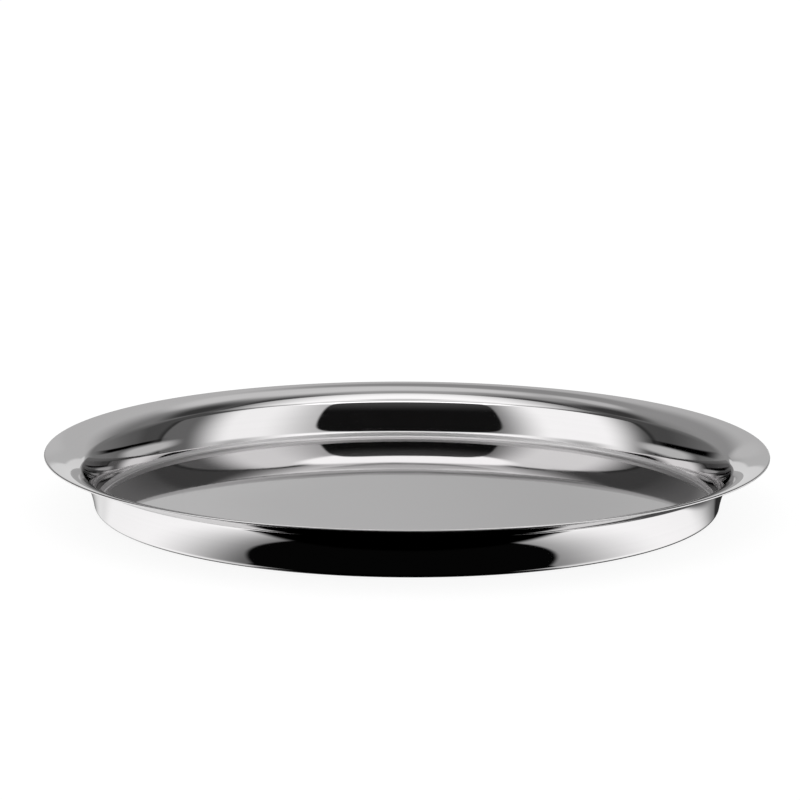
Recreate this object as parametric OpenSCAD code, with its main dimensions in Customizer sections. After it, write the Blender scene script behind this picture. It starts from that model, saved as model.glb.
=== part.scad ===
// Shallow round pan with a wide flared rim, pressed from one sheet of steel.
// Its section is a strip of constant thickness, walked along the inside face from the axis to
// the edge: flat floor, cove, wall that leans out more and more, tight bend, bowed rim, rounded edge.
// The wall and the rim are single arcs, and both radii follow from the sizes below, so that the
// strip runs on without a kink and ends at the rim's diameter and height.

/* [Pan] */
// Diameter over the outer edge of the rim
rim_d = 320; // [305:1:360]
// Outside diameter of the wall at its foot
wall_d = 277; // [240:1:292]
// Height from the resting face to the top of the rim
height = 25; // [18:0.5:50]
// Thickness of the sheet
sheet_t = 1; // [0.6:0.1:2]

/* [Bends] */
// Inside radius where the floor turns up into the wall
cove_r = 2.75; // [2:0.25:6]
// Radius under the sheet where the wall bends over into the rim
bend_r = 0.75; // [0.25:0.25:3]
// Angle by which the wall leans out at its foot, in degrees
foot_lean = 8.5; // [0:0.5:14]
// Angle by which the wall leans out at the bend, in degrees
wall_lean = 31.5; // [22:0.5:36]
// Angle at which the rim rises beside the bend, in degrees
rim_rise = 33.5; // [24:0.5:38]
// Angle at which the rim still rises at its edge, in degrees
edge_rise = 10; // [2:0.5:16]

/* [Hidden] */
$fn = 180;

// Radius of the flat floor, of the bend's inside face and of the edge's rounding
floor_r = wall_d / 2 - (sheet_t + cove_r) * cos(foot_lean);
bend_top_r = bend_r + sheet_t;
edge_r = sheet_t / 2;

// How far out and up the wall and the rim reach together, along the inside face
bend_out = bend_top_r * (cos(wall_lean) - sin(rim_rise));
bend_up = bend_top_r * (cos(rim_rise) - sin(wall_lean));
reach_out = rim_d / 2 - edge_r * (1 + sin(edge_rise)) - wall_d / 2 + sheet_t * cos(foot_lean) - bend_out;
reach_up = height - edge_r * (1 - cos(edge_rise)) - sheet_t - cove_r * (1 - sin(foot_lean)) - bend_up;

// How far out and up each of the two arcs goes for 1 mm of its radius
wall_out = cos(foot_lean) - cos(wall_lean);
wall_up = sin(wall_lean) - sin(foot_lean);
rim_out = sin(rim_rise) - sin(edge_rise);
rim_up = cos(edge_rise) - cos(rim_rise);

// The two radii that add up to that reach
both = wall_up * rim_out - wall_out * rim_up;
wall_r = (reach_up * rim_out - reach_out * rim_up) / both;
rim_r = (reach_out * wall_up - reach_up * wall_out) / both;

// Straight strip of sheet; what follows starts at its far end
module straight(length) {
    translate([0, -sheet_t])
        square([length, sheet_t]);
    translate([length, 0])
        children();
}

// Quarter ring of sheet cut off after the given angle
module ring_part(outer_r, angle) {
    intersection() {
        difference() {
            circle(r = outer_r);
            circle(r = outer_r - sheet_t);
        }
        square(outer_r);
        rotate(-angle)
            translate([-outer_r, 0])
                square([outer_r, 2 * outer_r]);
    }
}

// Bend towards the inside of the pan; what follows starts where it ends
module turn_up(face_r, angle) {
    translate([0, face_r]) {
        mirror([0, 1])
            ring_part(face_r + sheet_t, angle);
        rotate(angle)
            translate([0, -face_r])
                children();
    }
}

// Bend towards the outside of the pan; what follows starts where it ends
module turn_down(face_r, angle) {
    translate([0, -face_r]) {
        ring_part(face_r, angle);
        rotate(-angle)
            translate([0, face_r])
                children();
    }
}

// Rounded edge at the end of the strip
module rounded_edge() {
    translate([0, -edge_r])
        circle(r = edge_r);
}

module pan_body() {
    color("silver")
        rotate_extrude()
            translate([0, sheet_t])
                straight(floor_r)
                    turn_up(cove_r, 90 - foot_lean)
                        turn_down(wall_r, wall_lean - foot_lean)
                            turn_down(bend_top_r, 90 - wall_lean - rim_rise)
                                turn_down(rim_r, rim_rise - edge_rise)
                                    rounded_edge();
}

pan_body();
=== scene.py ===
"""A shallow round pan of mirror-polished steel, set in a plain white studio."""
import math

import bmesh
import bpy
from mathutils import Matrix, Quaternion, Vector


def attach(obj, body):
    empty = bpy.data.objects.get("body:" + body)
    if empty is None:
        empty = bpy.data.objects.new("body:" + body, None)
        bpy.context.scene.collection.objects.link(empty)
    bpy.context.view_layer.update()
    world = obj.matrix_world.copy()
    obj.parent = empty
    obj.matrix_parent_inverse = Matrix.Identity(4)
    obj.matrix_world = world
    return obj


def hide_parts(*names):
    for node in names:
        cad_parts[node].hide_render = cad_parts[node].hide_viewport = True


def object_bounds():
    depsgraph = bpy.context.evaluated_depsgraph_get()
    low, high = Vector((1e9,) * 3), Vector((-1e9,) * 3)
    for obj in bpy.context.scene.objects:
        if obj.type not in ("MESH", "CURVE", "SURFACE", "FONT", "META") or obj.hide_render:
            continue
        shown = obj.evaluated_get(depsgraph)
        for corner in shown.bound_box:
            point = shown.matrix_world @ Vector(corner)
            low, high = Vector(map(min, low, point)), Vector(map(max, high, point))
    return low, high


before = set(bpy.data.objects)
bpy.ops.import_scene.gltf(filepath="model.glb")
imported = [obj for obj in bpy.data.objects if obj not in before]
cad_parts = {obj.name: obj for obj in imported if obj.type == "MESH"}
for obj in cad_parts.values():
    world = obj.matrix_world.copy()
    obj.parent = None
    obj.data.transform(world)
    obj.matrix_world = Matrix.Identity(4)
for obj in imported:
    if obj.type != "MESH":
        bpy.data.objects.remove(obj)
cad_low, cad_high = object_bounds()

# Sizes of the pan, in metres and degrees
RIM_RADIUS = (cad_high.x - cad_low.x) / 2
HEIGHT = cad_high.z - cad_low.z
WALL_RADIUS = 0.1385
SHEET = 0.001
COVE_RADIUS = 0.0015
BEND_RADIUS = 0.004
FOOT_LEAN = 8.5
WALL_LEAN = 31.5
RIM_RISE = 33.5
EDGE_RISE = 10.0

# Fineness of the pan's mesh: steps round the axis, steps along each arc of the section, which are
# fewer under the sheet in places, and the width of the floor's outermost faces
TURN_STEPS = 360
COVE_STEPS = 18
WALL_STEPS = 40
BEND_STEPS, BEND_UNDER_STEPS = 14, 8
RIM_STEPS, RIM_UNDER_STEPS = 30, 24
EDGE_STEPS = 12
FLOOR_BORDER = 0.0008
MERGE_DISTANCE = 1e-7

# The view, in metres, degrees and pixels of the 800 pixel picture
PICTURE = 800
SENSOR = 36.0
CAMERA_DISTANCE = 1.2
CAMERA_ELEVATION = 12.87
CAMERA_ROLL = 0.24
FOCAL_PIXELS = 2688
BASE_CENTRE_PIXEL = (406.7, 500.8)

# Polished steel: its colour straight on and at a flat angle, and the roughness of the best polish
STEEL_COLOUR = (0.722, 0.711, 0.715, 1)
STEEL_EDGE = (0.845, 0.845, 0.845, 1)
BRIGHT_ROUGHNESS = 0.022

# Rings and smudges left by the polishing wheel, and slight waves in the sheet
RINGS_PER_METRE = 520
RING_ROUGHNESS = 0.02
RING_TONE = 0.12
RING_DEPTH = 0.0000015
SMUDGES_PER_METRE = 26
SMUDGE_ROUGHNESS = 0.03
WAVES_PER_METRE = 22
WAVE_DEPTH = 0.00006

# Haze in the middle of the floor: where it starts and ends to fade, and how uneven that edge is
HAZE_COLOUR = (0.640, 0.630, 0.634, 1)
HAZE_CENTRE = (0.012, -0.01, 0)
HAZE_RADIUS = (0.055, 0.118)
HAZE_UNEVEN = 0.03

# Dull band in the cove: where it fades into the sheet, on to the floor and up the wall, each
# counted from the cove's inside face or its centre
COVE_ROUGHNESS = 0.4
COVE_FADE_SHEET = (0.0002, 0.0009)
COVE_FADE_FLOOR = (0.0002, 0.0009)
COVE_FADE_WALL = (0.0006, 0.0014)

# Painted shade where the pan stands, a dark line on the outside of the cove for the shaded floor
# it mirrors: its fading through the sheet as shares of the thickness, its fading outwards from the floor,
# and its height
PAINTED_FOOT_SHADE_COLOUR = (0.16, 0.157, 0.158, 1)
FOOT_SHADE_FADE_SHEET = (0.3, 0.7)
FOOT_SHADE_FADE_FLOOR = 0.0003
FOOT_SHADE_HEIGHT = 0.0014

# The floor under the pan, and its share of the glow that only the camera sees
FLOOR_HALF = 12.0
FLOOR_DROP = 0.0002
FLOOR_WHITE = (0.95, 0.95, 0.95, 1)
FLOOR_GLOW = 0.84
GLOW_STRENGTH = 1.05

# Half width of a mirrored shape that goes all the way round, in degrees and more
ALL_ROUND = 2000


def sin(degrees):
    return math.sin(math.radians(degrees))


def cos(degrees):
    return math.cos(math.radians(degrees))


# Nodes

def node(tree, kind, inputs=None, **settings):
    """Adds a node; an input is a value or the socket that feeds it."""
    made = tree.nodes.new(kind)
    for name, value in settings.items():
        setattr(made, name, value)
    for name, value in (inputs or {}).items():
        if isinstance(value, bpy.types.NodeSocket):
            tree.links.new(value, made.inputs[name])
        else:
            made.inputs[name].default_value = value
    return made


def calculate(tree, operation, *values):
    """Output of a Math node on the given values or sockets."""
    return node(tree, "ShaderNodeMath", dict(enumerate(values)), operation=operation).outputs[0]


def product(tree, first, *others):
    """Output of all the given masks multiplied."""
    for other in others:
        first = calculate(tree, "MULTIPLY", first, other)
    return first


def ramp_over(tree, value, low, high, start=0.0, end=1.0):
    """Output of a smooth step from start to end as the value goes from low to high."""
    made = node(
        tree,
        "ShaderNodeMapRange",
        {"Value": value, "From Min": low, "From Max": high, "To Min": start, "To Max": end},
        interpolation_type="SMOOTHSTEP",
    )
    return made.outputs["Result"]


def vector_output(tree, operation, output, *vectors):
    """The named output of a Vector Math node on the given vectors or sockets."""
    made = node(tree, "ShaderNodeVectorMath", dict(enumerate(vectors)), operation=operation)
    return made.outputs[output]


def combine(tree, **parts):
    """Output of a vector put together from its parts X, Y and Z."""
    return node(tree, "ShaderNodeCombineXYZ", parts).outputs["Vector"]


def noise(tree, place, scale, detail, roughness):
    """Output of a noise texture."""
    inputs = {"Vector": place, "Scale": scale, "Detail": detail, "Roughness": roughness}
    return node(tree, "ShaderNodeTexNoise", inputs).outputs["Fac"]


def mix_colours(tree, share, under, over):
    """Output of one colour laid over another by its share."""
    inputs = {"Fac": share, "Color1": under, "Color2": over}
    return node(tree, "ShaderNodeMixRGB", inputs).outputs["Color"]


# The pan's section, walked along the inside face to the edge and back under the sheet

def floor_radius():
    """Radius of the flat floor; the cove's centre lies above its end."""
    return WALL_RADIUS - (SHEET + COVE_RADIUS) * cos(FOOT_LEAN)


def arc_radii():
    """Radii of the wall's and the rim's arcs, which end at the rim's edge and height."""
    edge = SHEET / 2
    bend = BEND_RADIUS + SHEET
    out = RIM_RADIUS - edge * (1 + sin(EDGE_RISE)) - WALL_RADIUS + SHEET * cos(FOOT_LEAN)
    out -= bend * (cos(WALL_LEAN) - sin(RIM_RISE))
    up = HEIGHT - edge * (1 - cos(EDGE_RISE)) - SHEET - COVE_RADIUS * (1 - sin(FOOT_LEAN))
    up -= bend * (cos(RIM_RISE) - sin(WALL_LEAN))
    wall_out, wall_up = cos(FOOT_LEAN) - cos(WALL_LEAN), sin(WALL_LEAN) - sin(FOOT_LEAN)
    rim_out, rim_up = sin(RIM_RISE) - sin(EDGE_RISE), cos(EDGE_RISE) - cos(RIM_RISE)
    both = wall_up * rim_out - wall_out * rim_up
    return (up * rim_out - out * rim_up) / both, (out * wall_up - up * wall_out) / both


def walk_to(bm, tip, x):
    """Carries the section straight on to the given distance from the axis."""
    made = bmesh.ops.extrude_vert_indiv(bm, verts=[tip])
    made["verts"][0].co.x = x
    return made["verts"][0]


def walk_turn(bm, tip, heading, radius, angle, steps):
    """Carries the section on along an arc, to the left where the angle is positive."""
    side = math.copysign(radius, angle)
    centre = tip.co + Vector((-side * sin(heading), 0, side * cos(heading)))
    made = bmesh.ops.spin(
        bm, geom=[tip], cent=centre, axis=(0, -1, 0), angle=math.radians(angle), steps=steps
    )
    last = [part for part in made["geom_last"] if isinstance(part, bmesh.types.BMVert)]
    return last[0], heading + angle


def pan_section(bm):
    """Draws the sheet's section as one chain of edges, from the axis back to the axis."""
    wall, rim = arc_radii()
    cove_turn = 90 - FOOT_LEAN
    wall_turn = WALL_LEAN - FOOT_LEAN
    bend_turn = 90 - WALL_LEAN - RIM_RISE
    rim_turn = RIM_RISE - EDGE_RISE
    inside = [
        (COVE_RADIUS, cove_turn, COVE_STEPS),
        (wall, -wall_turn, WALL_STEPS),
        (BEND_RADIUS + SHEET, -bend_turn, BEND_STEPS),
        (rim, -rim_turn, RIM_STEPS),
    ]
    edge = [(SHEET / 2, -180, EDGE_STEPS)]
    under = [
        (rim - SHEET, rim_turn, RIM_UNDER_STEPS),
        (BEND_RADIUS, bend_turn, BEND_UNDER_STEPS),
        (wall - SHEET, wall_turn, WALL_STEPS),
        (COVE_RADIUS + SHEET, -cove_turn, COVE_STEPS),
    ]
    floor_end = floor_radius()
    tip = bm.verts.new((0, 0, SHEET))
    heading = 0
    tip = walk_to(bm, tip, floor_end - FLOOR_BORDER)
    tip = walk_to(bm, tip, floor_end)
    for radius, angle, steps in inside + edge + under:
        tip, heading = walk_turn(bm, tip, heading, radius, angle, steps)
    tip = walk_to(bm, tip, floor_end - FLOOR_BORDER)
    walk_to(bm, tip, 0)


def make_pan():
    """The pressed sheet as one closed shell of revolution."""
    bm = bmesh.new()
    pan_section(bm)
    bmesh.ops.spin(
        bm,
        geom=bm.verts[:] + bm.edges[:],
        cent=(0, 0, 0),
        axis=(0, 0, 1),
        angle=2 * math.pi,
        steps=TURN_STEPS,
        use_merge=True,
    )
    bmesh.ops.remove_doubles(bm, verts=bm.verts, dist=MERGE_DISTANCE)
    bmesh.ops.recalc_face_normals(bm, faces=bm.faces)
    for face in bm.faces:
        face.smooth = True
    mesh = bpy.data.meshes.new("pan_sheet")
    bm.to_mesh(mesh)
    bm.free()
    pan = bpy.data.objects.new("pan_sheet", mesh)
    bpy.context.scene.collection.objects.link(pan)
    return pan


# The polish

def wheel_rings(tree, place, radius, z):
    """Noise that runs on round the axis and changes quickly outwards and upwards."""
    turn = vector_output(tree, "NORMALIZE", "Vector", place)
    turn_x, turn_y, _ = node(tree, "ShaderNodeSeparateXYZ", {"Vector": turn}).outputs
    along = calculate(tree, "MULTIPLY", calculate(tree, "ADD", radius, z), RINGS_PER_METRE)
    return noise(tree, combine(tree, X=along, Y=turn_x, Z=turn_y), 1.0, 3.0, 0.65)


def cove_masks(tree, radius, z):
    """Masks of the dull band inside the cove, which the wheel reaches less, and of the painted shade
    below it, a dark line where the pan stands.
    """
    centre_r, centre_z = floor_radius(), SHEET + COVE_RADIUS
    section = combine(tree, X=radius, Y=z)
    reach = vector_output(tree, "DISTANCE", "Value", section, (centre_r, centre_z, 0))
    start, end = COVE_FADE_SHEET
    dull = ramp_over(tree, reach, COVE_RADIUS + start, COVE_RADIUS + end, 1.0, 0.0)
    start, end = COVE_FADE_FLOOR
    off_floor = ramp_over(tree, radius, centre_r + start, centre_r + end)
    start, end = COVE_FADE_WALL
    below_wall = ramp_over(tree, z, centre_z + end, centre_z + start)
    start, end = (share * SHEET for share in FOOT_SHADE_FADE_SHEET)
    outside = ramp_over(tree, reach, COVE_RADIUS + start, COVE_RADIUS + end)
    past_floor = ramp_over(tree, radius, centre_r, centre_r + FOOT_SHADE_FADE_FLOOR)
    low_down = ramp_over(tree, z, FOOT_SHADE_HEIGHT, FOOT_SHADE_HEIGHT / 2)
    return product(tree, dull, off_floor, below_wall), product(tree, outside, past_floor, low_down)


def floor_haze(tree, place, smudge):
    """Mask of the haze in the middle of the floor, uneven at its edge."""
    off = vector_output(tree, "DISTANCE", "Value", place, HAZE_CENTRE)
    uneven = calculate(tree, "MULTIPLY_ADD", smudge, HAZE_UNEVEN, off)
    start, end = (reach + HAZE_UNEVEN / 2 for reach in HAZE_RADIUS)
    return ramp_over(tree, uneven, start, end, 1.0, 0.0)


def polished_steel():
    """Mirror polish: rings from the wheel, smudges, haze on the floor, a duller cove, slight waves, and a
    painted shade line at the foot.
    """
    material = bpy.data.materials.new("polished steel")
    material.use_nodes = True
    tree = material.node_tree
    shader = tree.nodes["Principled BSDF"]
    place = node(tree, "ShaderNodeTexCoord").outputs["Object"]
    x, y, z = node(tree, "ShaderNodeSeparateXYZ", {"Vector": place}).outputs
    radius = vector_output(tree, "LENGTH", "Value", combine(tree, X=x, Y=y))
    rings = wheel_rings(tree, place, radius, z)
    smudge = noise(tree, place, SMUDGES_PER_METRE, 6.0, 0.6)
    waves = noise(tree, place, WAVES_PER_METRE, 1.0, 0.5)
    cove, foot_shade = cove_masks(tree, radius, z)

    # Roughness
    dull = calculate(tree, "MULTIPLY_ADD", cove, COVE_ROUGHNESS, BRIGHT_ROUGHNESS)
    dull = calculate(tree, "MULTIPLY_ADD", ramp_over(tree, smudge, 0.45, 0.75), SMUDGE_ROUGHNESS, dull)
    dull = calculate(tree, "MULTIPLY_ADD", ramp_over(tree, rings, 0.4, 0.7), RING_ROUGHNESS, dull)
    tree.links.new(dull, shader.inputs["Roughness"])

    # Colour
    ring_tone = ramp_over(tree, rings, 0.3, 0.75, 0.0, RING_TONE)
    haze = calculate(tree, "MAXIMUM", floor_haze(tree, place, smudge), ring_tone)
    polish = mix_colours(tree, haze, STEEL_COLOUR, HAZE_COLOUR)
    # Painted shade: the dark line on the outside of the cove where the pan stands
    tree.links.new(mix_colours(tree, foot_shade, polish, PAINTED_FOOT_SHADE_COLOUR), shader.inputs["Base Color"])

    # Depth of the waves and rings
    height = calculate(tree, "MULTIPLY", waves, WAVE_DEPTH)
    height = calculate(tree, "MULTIPLY_ADD", rings, RING_DEPTH, height)
    bump = node(tree, "ShaderNodeBump", {"Height": height, "Distance": 1.0, "Strength": 1.0})
    tree.links.new(bump.outputs["Normal"], shader.inputs["Normal"])
    shader.inputs["Metallic"].default_value = 1.0
    shader.inputs["Specular Tint"].default_value = STEEL_EDGE
    return material


# The studio

def soft_shape_group():
    """Node group: lays a shape with a soft edge over what is seen in a direction."""
    group = bpy.data.node_groups.new("soft shape", "ShaderNodeTree")
    names = ["Under", "Light", "Azimuth", "Elevation", "Centre Azimuth", "Centre Elevation"]
    names += ["Half Width", "Half Height", "Square", "Inner", "Outer", "Tilt"]
    for name in names:
        group.interface.new_socket(name, in_out="INPUT", socket_type="NodeSocketFloat")
    group.interface.new_socket("Seen", in_out="OUTPUT", socket_type="NodeSocketFloat")
    given = node(group, "NodeGroupInput").outputs
    turned = calculate(group, "SUBTRACT", given["Azimuth"], given["Centre Azimuth"])
    across = calculate(group, "WRAP", turned, 180.0, -180.0)
    level = calculate(group, "MULTIPLY_ADD", across, given["Tilt"], given["Centre Elevation"])
    up = calculate(group, "SUBTRACT", given["Elevation"], level)
    reach = []
    for offset, half in ((across, given["Half Width"]), (up, given["Half Height"])):
        share = calculate(group, "ABSOLUTE", calculate(group, "DIVIDE", offset, half))
        reach.append(calculate(group, "POWER", share, given["Square"]))
    root = calculate(group, "DIVIDE", 1.0, given["Square"])
    out = calculate(group, "POWER", calculate(group, "ADD", *reach), root)
    mask = ramp_over(group, out, given["Inner"], given["Outer"], 1.0, 0.0)
    change = calculate(group, "SUBTRACT", given["Light"], given["Under"])
    seen = calculate(group, "MULTIPLY_ADD", change, mask, given["Under"])
    node(group, "NodeGroupOutput", {"Seen": seen})
    return group


class MirroredRoom:
    """What the steel mirrors, painted shape over shape by direction, in degrees.

    Azimuth 0 is behind the pan, 90 to its right and 180 at the camera; elevation 0 is the horizon.
    """

    def __init__(self, tree):
        self.tree = tree
        self.shape = soft_shape_group()
        direction = node(tree, "ShaderNodeTexCoord").outputs["Generated"]
        x, y, z = node(tree, "ShaderNodeSeparateXYZ", {"Vector": direction}).outputs
        self.azimuth = calculate(tree, "DEGREES", calculate(tree, "ARCTAN2", x, y))
        self.elevation = calculate(tree, "DEGREES", calculate(tree, "ARCSINE", z))
        self.seen = 0.0

    def fill(self, light):
        """Covers everything with one light."""
        self.seen = light

    def paint(self, name, light, centre, half, edge, square=2.0, tilt=0.0):
        """Lays one shape over the rest.

        The centre and the half sizes are azimuth and elevation. The edge gives the shares of the
        half sizes where the fading starts and ends. A shape is oval, or squarer where square is
        more than 2, and tilt is its rise for each degree to the right.
        """
        laid = node(
            self.tree,
            "ShaderNodeGroup",
            {
                "Under": self.seen,
                "Light": light,
                "Azimuth": self.azimuth,
                "Elevation": self.elevation,
                "Centre Azimuth": centre[0],
                "Centre Elevation": centre[1],
                "Half Width": half[0],
                "Half Height": half[1],
                "Square": square,
                "Inner": edge[0],
                "Outer": edge[1],
                "Tilt": tilt,
            },
            node_tree=self.shape,
            label=name,
        )
        self.seen = laid.outputs["Seen"]


def paint_room(room):
    """White tents and a grey backdrop round the pan, with dark gaps and a dark opening at the camera."""
    tree, up, right = room.tree, room.elevation, room.azimuth
    left = calculate(tree, "MULTIPLY", right, -1.0)
    side = calculate(tree, "ABSOLUTE", right)

    def ramp(value, low, high, start, end):
        return ramp_over(tree, value, low, high, start, end)

    room.fill(ramp(up, 51, 74, 0.08, 1.34))
    room.paint("middle of the ceiling", 0.68, (0, 90), (ALL_ROUND, 12), (0.25, 1.17))

    # Backdrop with a dark edge, brightest in the middle, and dark gaps beside it
    dark_edge = ramp(side, 6, 26, 0.42, 0.05)
    room.paint("backdrop's edge", dark_edge, (0, 23.5), (55, 42.5), (0.98, 1.02), 2.2)
    right_half = ramp(right, 8, 25, 0.63, 0.22)
    left_half = calculate(tree, "SUBTRACT", ramp(left, 2, 12, 0.61, 0.36), ramp(left, 18, 34, 0.0, 0.16))
    middle = calculate(tree, "MINIMUM", right_half, left_half)
    backdrop = calculate(tree, "SUBTRACT", middle, ramp(side, 26, 62, 0.0, 0.11))
    room.paint("backdrop", backdrop, (0, 20), (64, 43), (0.86, 0.98), 2.6)
    room.paint("backdrop's foot", 0.66, (-4, 14), (7, 4), (0.4, 1.2))
    room.paint("backdrop's top", 0.76, (1, 53.3), (17, 6.2), (0.5, 1.2))
    room.paint("light on its right", 0.73, (9, 45.5), (10.5, 7), (0.5, 1.25))
    room.paint("light on its left", 0.62, (-14.5, 47.5), (6, 4), (0.5, 1.3))
    room.paint("shade between them", 0.33, (-4, 42), (10, 6.5), (0.5, 1.2))
    for sign in (-1, 1):
        room.paint("gap beside the backdrop", 0.05, (sign * 30, 50), (9, 9), (0.3, 1.2))

    # Tents to the left and right, each with a dark seam, and a low light wall under a dark ledge
    right_tent = product(tree, ramp(right, 84, 107, 0.16, 1.19), ramp(right, 118, 150, 1.0, 0.5))
    left_tent = product(tree, ramp(left, 72, 97, 0.10, 1.25), ramp(left, 120, 146, 1.0, 0.16))
    for sign, tent, ledge in ((1, right_tent, 1.0), (-1, left_tent, 1.7)):
        centre, half = (sign * 119, 8), (48, 50)
        room.paint("tent's seam", 0.04, centre, half, (1.02, 1.08))
        room.paint("tent", tent, centre, half, (0.98, 1.02))
        room.paint("low wall", 0.60, (sign * 63, 9.2), (20, 4.2), (0.5, 1.1), 3, sign * 0.2)
        room.paint("ledge", 0.0, (sign * 50, 11.9), (20.5, ledge), (0.6, 1.3), 6, sign * 0.21)

    # Light above the camera
    room.paint("cloth over the light", 0.80, (180, 73), (100, 5), (0.6, 1.1))
    room.paint("light's frame", 0.36, (180, 68.2), (80, 2.2), (0.4, 1.1))
    room.paint("light", 1.85, (180, 57), (62, 9.5), (0.85, 1.06))

    # White table, brightest at the sides, its near and far edges and the shade that the pan throws
    near_edge = ramp(side, 100, 140, 0.4, 1.35)
    room.paint("table's near edge", near_edge, (180, 5), (85, 6), (0.8, 1.1), 4)
    table = calculate(tree, "MINIMUM", ramp(right, 134, 66, 0.2, 1.28), ramp(left, 124, 64, 0.1, 1.28))
    room.paint("table", table, (0, -45), (ALL_ROUND, 46), (0.97, 1.01))
    room.paint("shade on the left", ramp(left, 8, 25, 0.12, 1.05), (-8, -18), (25, 16), (0.8, 1.2))
    room.paint("shade on the right", ramp(right, 22, 44, 0.25, 1.2), (24, -20), (22, 16), (0.8, 1.1))
    room.paint("darkest shade", 0.03, (8, -18), (15, 15), (0.85, 1.1))
    room.paint("shade under the rim", 0.10, (0, -45), (30, 22), (0.85, 1.05))
    room.paint("its right end", 0.12, (19.5, -42), (21, 19), (0.85, 1.1), 2.5)
    for sign in (-1, 1):
        room.paint("table's far edge", 0.88, (sign * 5, 3.5), (9, 6), (0.8, 1.05), 2, sign * 0.5)

    # Dark opening at the camera, above and below the horizon, and the dark under the table
    room.paint("opening below", 0.002, (-177.75, -48), (67.3, 37.6), (0.97, 1.02))
    room.paint("opening above", ramp(up, 38, 56, 0.007, 0.09), (-179, 32.3), (38.5, 22.4), (0.96, 1.0), 6)
    room.paint("under the table", 0.0, (0, -90), (ALL_ROUND, 29.5), (0.93, 1.05))


def studio_world():
    """White for the camera and the floor, and the painted room for the steel."""
    world = bpy.data.worlds.new("studio")
    world.use_nodes = True
    tree = world.node_tree
    tree.nodes.clear()
    room = MirroredRoom(tree)
    paint_room(room)
    plain = node(tree, "ShaderNodeBackground", {"Color": (1, 1, 1, 1)})
    mirrored = node(tree, "ShaderNodeBackground", {"Color": room.seen})
    path = node(tree, "ShaderNodeLightPath")
    mixed = node(
        tree,
        "ShaderNodeMixShader",
        {0: path.outputs["Is Glossy Ray"], 1: plain.outputs[0], 2: mirrored.outputs[0]},
    )
    node(tree, "ShaderNodeOutputWorld", {"Surface": mixed.outputs[0]})
    return world


def floor_white():
    """Matt white that the camera sees brighter, so that only a faint shadow is left on it."""
    material = bpy.data.materials.new("white floor")
    material.use_nodes = True
    tree = material.node_tree
    tree.nodes.clear()
    matt = node(tree, "ShaderNodeBsdfDiffuse", {"Color": FLOOR_WHITE})
    glow = node(tree, "ShaderNodeEmission", {"Color": (1, 1, 1, 1), "Strength": GLOW_STRENGTH})
    path = node(tree, "ShaderNodeLightPath")
    share = calculate(tree, "MULTIPLY", path.outputs["Is Camera Ray"], FLOOR_GLOW)
    mixed = node(tree, "ShaderNodeMixShader", {0: share, 1: matt.outputs[0], 2: glow.outputs[0]})
    node(tree, "ShaderNodeOutputMaterial", {"Surface": mixed.outputs[0]})
    return material


def make_floor():
    """Wide white floor just under the pan; the steel mirrors the painted table in its place."""
    bm = bmesh.new()
    bmesh.ops.create_grid(bm, x_segments=1, y_segments=1, size=FLOOR_HALF)
    bmesh.ops.translate(bm, verts=bm.verts, vec=(0, 0, cad_low.z - FLOOR_DROP))
    mesh = bpy.data.meshes.new("floor")
    bm.to_mesh(mesh)
    bm.free()
    floor = bpy.data.objects.new("floor", mesh)
    floor.data.materials.append(floor_white())
    floor.visible_glossy = False
    bpy.context.scene.collection.objects.link(floor)


def make_camera():
    """Camera that sees the middle of the pan's base at its pixel."""
    data = bpy.data.cameras.new("camera")
    data.sensor_width = SENSOR
    data.lens = FOCAL_PIXELS / PICTURE * SENSOR
    camera = bpy.data.objects.new("camera", data)
    bpy.context.scene.collection.objects.link(camera)
    back = Vector((0, -cos(CAMERA_ELEVATION), sin(CAMERA_ELEVATION)))
    right, down = (pixel - PICTURE / 2 for pixel in BASE_CENTRE_PIXEL)
    aim = Vector((0, 0, -1)).rotation_difference(Vector((right, -down, -FOCAL_PIXELS)))
    roll = Quaternion((0, 0, 1), math.radians(CAMERA_ROLL))
    camera.rotation_mode = "QUATERNION"
    camera.rotation_quaternion = (-back).to_track_quat("-Z", "Y") @ roll @ aim.inverted()
    camera.location = back * CAMERA_DISTANCE
    bpy.context.scene.camera = camera


pan = make_pan()
pan.data.materials.append(polished_steel())
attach(pan, "root")
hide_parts("pan_body")

make_floor()
make_camera()
scene = bpy.context.scene
scene.world = studio_world()
scene.view_settings.view_transform = "Standard"
